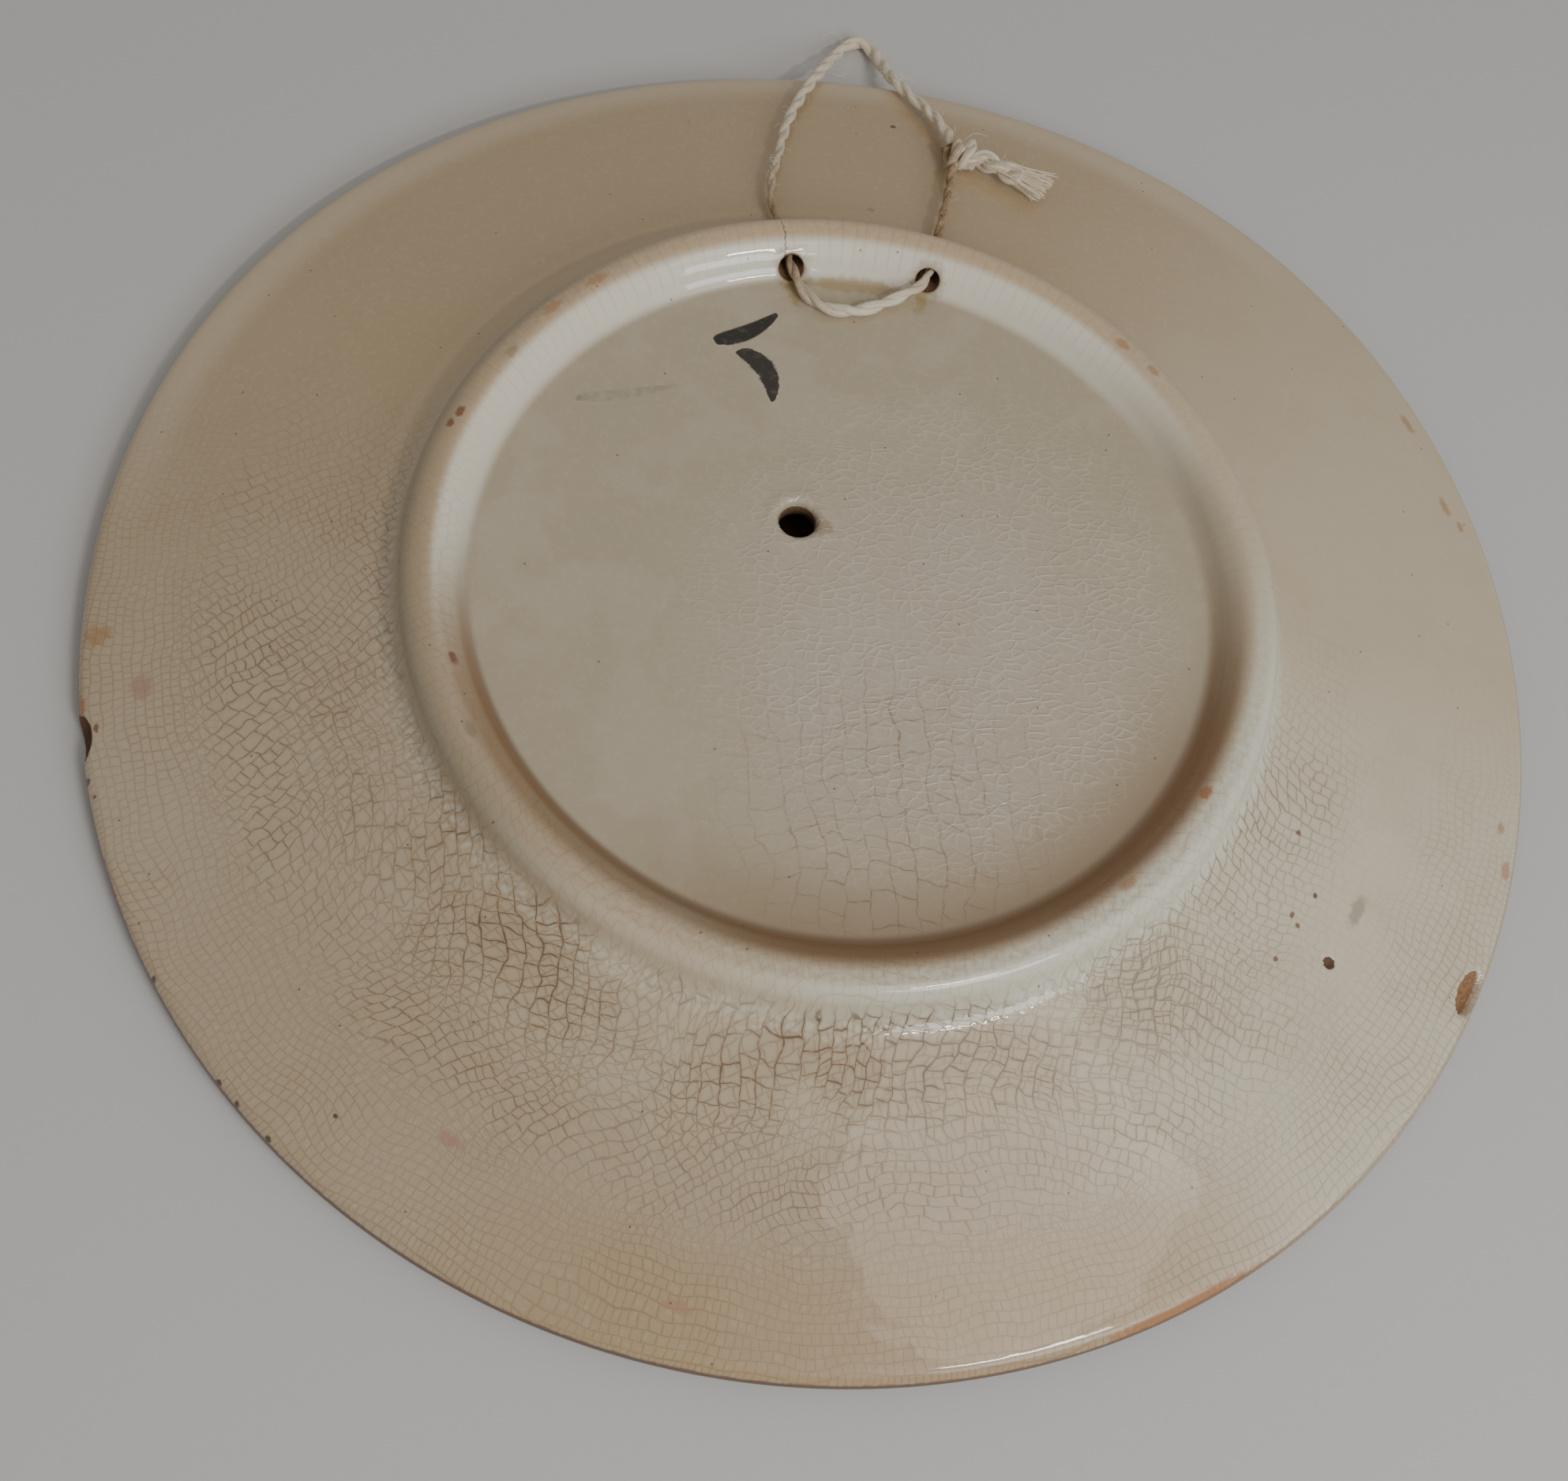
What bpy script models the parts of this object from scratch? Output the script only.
"""Barbotine wall plate, lying face down, with its hanging string.

Earthenware plate 240 mm across. The back is up: a foot ring with a recess inside it, a small vent hole
into the hollow fruit of the front, and two holes through the ring that carry a loop of cotton twine.
The front, underneath, has a moulded fruit with leaves and a border of shallow petals.

Frame: metres, +Z up through the back, origin under the middle of the plate on the surface it lies on,
+Y towards the hanging loop, which is the top of the plate when it hangs.
"""

import math

import bmesh
import bpy
from mathutils import Matrix, Vector

MM = 0.001

# ---------------------------------------------------------------- driving dimensions, in millimetres
PLATE_RADIUS = 120.0
RIM_WAVES = ((2, 0.34, 46.0), (3, 0.55, 122.0), (4, 0.42, -167.0))  # lobes, height, direction in degrees
WAVES_START = 72.0                  # inside this radius the plate is truly round
FLOOR_TOP = 19.4                    # recess floor above the table
RING_TOP = 24.5                     # crest of the foot ring above the table

STEPS_ROUND = 96                    # facets round the plate
RIM_LAND = (118.2, 116.4)           # flat ring that the plate rests on, outer and inner radius
RING_LAND = (65.6, 67.4)            # flat ring on the crest of the foot ring

# (radius, height) down the back, from the recess out over the foot ring and flange to the rim
BACK_PROFILE = (
    (57.8, FLOOR_TOP), (59.4, 19.5), (60.6, 20.4), (62.2, 22.5), (64.0, 23.9),
    (RING_LAND[0], RING_TOP), (RING_LAND[1], RING_TOP),
    (68.7, 24.0), (69.6, 22.6), (70.2, 20.3), (71.0, 18.3), (72.4, 17.1), (75.5, 16.1),
    (85.0, 13.9), (100.0, 10.3), (112.0, 7.3), (117.4, 6.0), (119.3, 4.9),
    (PLATE_RADIUS, 2.8), (119.5, 1.1), (RIM_LAND[0], 0.0), (RIM_LAND[1], 0.0),
)
# (radius, height) of the plain front, without its relief, from the rim in to the middle of the well
FRONT_PROFILE = (
    (RIM_LAND[1], 0.0), (113.5, 0.9), (108.0, 2.5), (96.0, 5.6), (85.0, 8.4), (76.0, 10.5),
    (70.0, 12.0), (62.0, 13.2), (0.0, 13.2),
)
FRONT_RINGS = (113.5, 109.0, 103.0, 96.0, 89.0, 82.0, 76.0, 71.0, 66.0, 62.0, 58.0, 54.0,
               50.0, 46.0, 42.0, 38.0, 34.0, 30.0, 26.0, 22.0, 18.0, 14.0, 10.0, 6.0)

# String holes: azimuth, (radius, height) of the inner and outer mouth, bore radius
STRING_HOLES = (
    (101.0, (60.4, 21.3), (71.0, 19.8), 2.25),
    (78.8, (61.0, 21.5), (71.0, 19.9), 2.1),
)
VENT = (-8.1, 10.9)                 # x, y of the vent hole, and of the hollow fruit below it
VENT_RADIUS = 3.0
HOLLOW = (14.5, 12.5, 3.9)          # half-lengths of the hollow inside the fruit
HOLLOW_HEIGHT = 12.0                # middle of the hollow above the table

# Chips along the rim: azimuth, radius of the middle, height, (half-length, half-depth, half-height)
RIM_CHIPS = (
    (-164.2, 120.6, 4.4, (4.4, 3.3, 3.2)),
    (-27.9, 117.3, 5.9, (4.2, 2.1, 1.7)),
)

# Front relief
FRUIT_SIZE = (28.0, 24.0)           # half-lengths along and across the fruit
FRUIT_TURN = 28.0
FRUIT_HEIGHT = 8.4
LEAVES = (                          # x, y of the stalk end, direction, length, half-width, height
    (-14.0, -6.0, -122.0, 46.0, 17.0, 3.4),
    (5.0, -6.0, -62.0, 52.0, 18.0, 3.8),
    (12.0, 14.0, 0.0, 45.0, 16.0, 3.4),
    (-14.0, 28.0, 112.0, 30.0, 14.0, 3.0),
)
BERRIES = (                         # x, y, radius, height
    (22.0, 40.0, 9.0, 5.0), (37.0, 36.0, 8.0, 4.4), (-41.0, 2.0, 8.5, 4.6), (-43.0, 18.0, 7.5, 4.0),
)
PETALS = 16                         # shallow petals round the border
PETAL_SPAN = (71.0, 112.5)
PETAL_HEIGHT = 2.0
WELL_RIDGE = (66.0, 4.2, 1.5)       # radius, half-width and height of the ridge round the well

# String
STRING_DIAMETER = 2.3
STRING_STEP = 4.6                   # distance between the points of the tube
ROUTE = (                           # middle of the twine, from the knot through the ring and back
    (17.7, 92.7, 14.3), (17.0, 88.6, 15.0), (15.8, 81.0, 16.9), (14.6, 74.8, 18.5),
    (13.7, 69.8, 19.5), (12.8, 65.2, 20.4), (12.0, 61.2, 21.5), (11.1, 58.8, 21.9), (9.2, 57.2, 21.7),
    (6.2, 55.4, 21.1), (1.8, 53.0, 20.8), (-2.4, 51.9, 20.8), (-6.2, 52.6, 20.8),
    (-9.0, 54.7, 20.8), (-10.6, 57.6, 20.7), (-11.8, 61.0, 20.4), (-12.7, 65.4, 19.7),
    (-13.9, 69.9, 18.9), (-15.4, 75.0, 18.1), (-15.8, 80.2, 17.0), (-14.7, 89.6, 14.7),
    (-13.4, 99.1, 12.3), (-11.1, 108.0, 9.9), (-8.2, 115.8, 7.9), (-5.6, 122.8, 4.9),
    (-3.9, 127.2, 2.8), (-2.4, 130.4, 1.8), (-0.8, 132.2, 1.5), (0.8, 132.8, 1.5), (2.3, 132.1, 1.5),
    (3.7, 130.2, 1.8), (5.0, 127.0, 2.9), (7.6, 118.2, 7.1), (11.5, 112.0, 9.1), (14.9, 106.6, 10.8),
    (16.9, 101.6, 12.3), (17.7, 98.4, 13.4),
)
KNOT_AND_TAILS = (                  # x, y, z and radius, from the knot out to the cut ends
    (15.6, 95.2, 14.0, 1.3), (16.4, 95.3, 14.0, 2.1), (18.0, 95.6, 13.9, 2.5), (19.8, 96.0, 13.5, 2.3),
    (21.3, 96.3, 13.1, 1.8), (23.4, 96.1, 13.0, 1.7), (26.2, 95.0, 13.1, 1.9), (29.8, 92.8, 13.6, 2.2),
    (32.8, 90.6, 14.1, 2.5), (34.8, 89.3, 14.4, 2.5),
)

GLAZE = (0.60, 0.53, 0.42, 1.0)
TWINE = (0.72, 0.64, 0.48, 1.0)


# ---------------------------------------------------------------- helpers
def clear_scene():
    for thing in list(bpy.data.objects):
        bpy.data.objects.remove(thing, do_unlink=True)


def material(name, colour, roughness):
    mat = bpy.data.materials.new(name)
    mat.use_nodes = True
    shader = mat.node_tree.nodes["Principled BSDF"]
    shader.inputs["Base Color"].default_value = colour
    shader.inputs["Roughness"].default_value = roughness
    shader.inputs["Metallic"].default_value = 0.0
    return mat


def add_object(name, data, mat=None):
    thing = bpy.data.objects.new(name, data)
    bpy.context.scene.collection.objects.link(thing)
    if mat:
        thing.data.materials.append(mat)
    return thing


def on_profile(profile, radius):
    """Height of a (radius, height) profile at a radius, whichever way the profile runs."""
    points = sorted(profile)
    if radius <= points[0][0]:
        return points[0][1]
    for (r0, z0), (r1, z1) in zip(points, points[1:]):
        if r0 <= radius <= r1:
            return z0 + (z1 - z0) * (radius - r0) / (r1 - r0)
    return points[-1][1]


def smooth(value):
    value = max(0.0, min(1.0, value))
    return value * value * (3.0 - 2.0 * value)


# ---------------------------------------------------------------- the front's relief
def fruit(x, y):
    """A rounded fruit with a shallow seam from end to end."""
    turn = math.radians(FRUIT_TURN)
    dx, dy = x - VENT[0], y - VENT[1]
    along = (dx * math.cos(turn) + dy * math.sin(turn)) / FRUIT_SIZE[0]
    across = (dy * math.cos(turn) - dx * math.sin(turn)) / FRUIT_SIZE[1]
    reach = along * along + across * across
    if reach >= 1.0:
        return 0.0
    seam = 0.9 * math.exp(-((across - 0.25 * (1.0 - along * along)) / 0.09) ** 2)
    return FRUIT_HEIGHT * (1.0 - reach) ** 0.55 - seam * (1.0 - reach)


def leaf(x, y, stalk_x, stalk_y, direction, length, half_width, height):
    """A pointed leaf, hollowed along its midrib, with scalloped edges."""
    turn = math.radians(direction)
    dx, dy = x - stalk_x, y - stalk_y
    along = (dx * math.cos(turn) + dy * math.sin(turn)) / length
    across = (dy * math.cos(turn) - dx * math.sin(turn)) / half_width
    if not 0.0 < along < 1.0:
        return 0.0
    half = math.sin(math.pi * along ** 0.8) ** 0.8 * (0.93 + 0.07 * math.cos(along * 8.0 * math.pi))
    if abs(across) >= half:
        return 0.0
    edge = smooth((half - abs(across)) / 0.28)
    cup = 0.5 + 0.6 * (abs(across) / half)
    rib = 0.4 * math.exp(-(across / 0.12) ** 2)
    return height * edge * (cup + rib)


def berry(x, y, centre_x, centre_y, radius, height):
    reach = ((x - centre_x) ** 2 + (y - centre_y) ** 2) / radius ** 2
    return height * math.sqrt(1.0 - reach) if reach < 1.0 else 0.0


def petals(radius, angle):
    """Shallow petals side by side on the flange, each highest along its middle."""
    inner, outer = PETAL_SPAN
    if not inner < radius < outer:
        return 0.0
    along = (radius - inner) / (outer - inner)
    side = abs(math.cos(PETALS * angle / 2.0))
    body = side ** 0.7 * smooth(along / 0.25)
    return PETAL_HEIGHT * body * smooth((0.62 + 0.38 * side ** 0.5 - along) / 0.16)


def well_ridge(radius):
    middle, half_width, height = WELL_RIDGE
    reach = abs(radius - middle) / half_width
    return height * (1.0 - reach * reach) if reach < 1.0 else 0.0


def relief(radius, angle):
    """Height of the moulding above the plain front."""
    x, y = radius * math.cos(angle), radius * math.sin(angle)
    heights = [fruit(x, y), petals(radius, angle), well_ridge(radius)]
    heights += [leaf(x, y, *sizes) for sizes in LEAVES]
    heights += [berry(x, y, *sizes) for sizes in BERRIES]
    return max(heights)


# ---------------------------------------------------------------- the plate
def rim_wave(radius, angle):
    """How far the hand-finished rim strays from a true circle."""
    share = max(0.0, (radius - WAVES_START) / (PLATE_RADIUS - WAVES_START)) ** 2
    waves = sum(size * math.cos(lobes * angle - math.radians(turn)) for lobes, size, turn in RIM_WAVES)
    return share * waves


def plate_rings():
    """Every ring of points, from the recess over the back, round the rim and in along the front."""
    rings = [[(r, z)] * STEPS_ROUND for r, z in BACK_PROFILE]
    for radius in FRONT_RINGS:
        plain = on_profile(FRONT_PROFILE, radius)
        rings.append([(radius, plain - relief(radius, math.tau * k / STEPS_ROUND)) for k in range(STEPS_ROUND)])
    return rings


def build_plate(mat):
    mesh = bpy.data.meshes.new("plate")
    bm = bmesh.new()
    rings = []
    for ring in plate_rings():
        row = []
        for k, (radius, height) in enumerate(ring):
            angle = math.tau * k / STEPS_ROUND
            reach = radius + rim_wave(radius, angle)
            row.append(bm.verts.new((reach * math.cos(angle) * MM, reach * math.sin(angle) * MM, height * MM)))
        rings.append(row)
    for inner, outer in zip(rings, rings[1:]):
        for k in range(STEPS_ROUND):
            after = (k + 1) % STEPS_ROUND
            bm.faces.new((inner[k], outer[k], outer[after], inner[after]))
    bm.faces.new(rings[0])
    middle = bm.verts.new((0.0, 0.0, (FRONT_PROFILE[-1][1] - relief(0.0, 0.0)) * MM))
    for k in range(STEPS_ROUND):
        bm.faces.new((rings[-1][k], middle, rings[-1][(k + 1) % STEPS_ROUND]))
    bmesh.ops.triangulate(bm, faces=[face for face in bm.faces if len(face.verts) == 4])
    bm.to_mesh(mesh)
    bm.free()
    plate = add_object("plate", mesh, mat)
    for cutter in string_hole_cutters() + vent_cutters() + chip_cutters():
        cut(plate, cutter)
    mesh.shade_smooth()
    mesh.set_sharp_from_angle(angle=math.radians(40.0))
    return plate


def cut(target, cutter):
    cutter.hide_render = True
    cutter.display_type = "WIRE"
    boolean = target.modifiers.new(cutter.name, "BOOLEAN")
    boolean.operation = "DIFFERENCE"
    boolean.solver = "EXACT"
    boolean.object = cutter


def cylinder_between(name, start, end, radius, sides=14):
    """A closed cylinder from one point to another, in millimetres."""
    start, end = Vector(start), Vector(end)
    axis = end - start
    bm = bmesh.new()
    bmesh.ops.create_cone(bm, cap_ends=True, segments=sides, radius1=radius, radius2=radius, depth=axis.length)
    turn = axis.to_track_quat("Z", "Y").to_matrix().to_4x4()
    bm.transform(Matrix.Scale(MM, 4) @ Matrix.Translation((start + end) / 2.0) @ turn)
    mesh = bpy.data.meshes.new(name)
    bm.to_mesh(mesh)
    bm.free()
    return add_object(name, mesh)


def ellipsoid(name, centre, half_lengths, turn=0.0, sides=16, rows=10):
    bm = bmesh.new()
    bmesh.ops.create_uvsphere(bm, u_segments=sides, v_segments=rows, radius=1.0)
    place = Matrix.Translation(Vector(centre)) @ Matrix.Rotation(math.radians(turn), 4, "Z")
    bm.transform(Matrix.Scale(MM, 4) @ place @ Matrix.Diagonal((*half_lengths, 1.0)))
    mesh = bpy.data.meshes.new(name)
    bm.to_mesh(mesh)
    bm.free()
    return add_object(name, mesh)


def string_hole_cutters():
    cutters = []
    for number, (azimuth, inner, outer, radius) in enumerate(STRING_HOLES, start=1):
        around = math.radians(azimuth)
        inner_mouth = Vector((inner[0] * math.cos(around), inner[0] * math.sin(around), inner[1]))
        outer_mouth = Vector((outer[0] * math.cos(around), outer[0] * math.sin(around), outer[1]))
        along = (outer_mouth - inner_mouth).normalized()
        cutters.append(cylinder_between(f"string_hole_{number}_cutter", inner_mouth - along * 4.0,
                                        outer_mouth + along * 3.0, radius))
    return cutters


def vent_cutters():
    hollow = ellipsoid("fruit_hollow_cutter", (*VENT, HOLLOW_HEIGHT), HOLLOW, FRUIT_TURN)
    bore = cylinder_between("vent_cutter", (*VENT, HOLLOW_HEIGHT + 1.0), (*VENT, FLOOR_TOP + 3.0), VENT_RADIUS)
    return [hollow, bore]


def chip_cutters():
    cutters = []
    for number, (azimuth, radius, height, sizes) in enumerate(RIM_CHIPS, start=1):
        around = math.radians(azimuth)
        centre = (radius * math.cos(around), radius * math.sin(around), height)
        length, depth, thick = sizes
        cutters.append(ellipsoid(f"rim_chip_{number}_cutter", centre, (depth, length, thick), azimuth,
                                 sides=10, rows=6))
    return cutters


# ---------------------------------------------------------------- the string
def smooth_route(points, step):
    """Points a set distance apart along a smooth curve through the route."""
    points = [Vector(point) for point in points]
    padded = [2 * points[0] - points[1]] + points + [2 * points[-1] - points[-2]]
    dense = []
    for p0, p1, p2, p3 in zip(padded, padded[1:], padded[2:], padded[3:]):
        for k in range(24):
            t = k / 24.0
            dense.append(0.5 * (2 * p1 + (p2 - p0) * t + (2 * p0 - 5 * p1 + 4 * p2 - p3) * t ** 2
                                + (3 * p1 - p0 - 3 * p2 + p3) * t ** 3))
    dense.append(points[-1])
    lengths = [0.0]
    for before, after in zip(dense, dense[1:]):
        lengths.append(lengths[-1] + (after - before).length)
    count = round(lengths[-1] / step)
    even, index = [], 0
    for k in range(count + 1):
        want = lengths[-1] * k / count
        while index < len(dense) - 2 and lengths[index + 1] < want:
            index += 1
        share = (want - lengths[index]) / (lengths[index + 1] - lengths[index])
        even.append(dense[index].lerp(dense[index + 1], min(1.0, share)))
    return even


def tube(name, points, radii, mat):
    """A round tube with filled ends along a line of points, in millimetres."""
    curve = bpy.data.curves.new(name, "CURVE")
    curve.dimensions = "3D"
    curve.bevel_depth = MM
    curve.bevel_resolution = 2
    curve.use_fill_caps = True
    spline = curve.splines.new("POLY")
    spline.points.add(len(points) - 1)
    for place, point, radius in zip(spline.points, points, radii):
        place.co = (*(Vector(point) * MM), 1.0)
        place.radius = radius
    return add_object(name, curve, mat)


def build_string(mat):
    run = smooth_route(ROUTE, STRING_STEP)
    tube("hanging_string", run, [STRING_DIAMETER / 2.0] * len(run), mat)
    knot = KNOT_AND_TAILS
    tube("string_knot", [point[:3] for point in knot], [point[3] for point in knot], mat)


clear_scene()
build_plate(material("glazed_earthenware", GLAZE, 0.18))
build_string(material("cotton_twine", TWINE, 0.9))
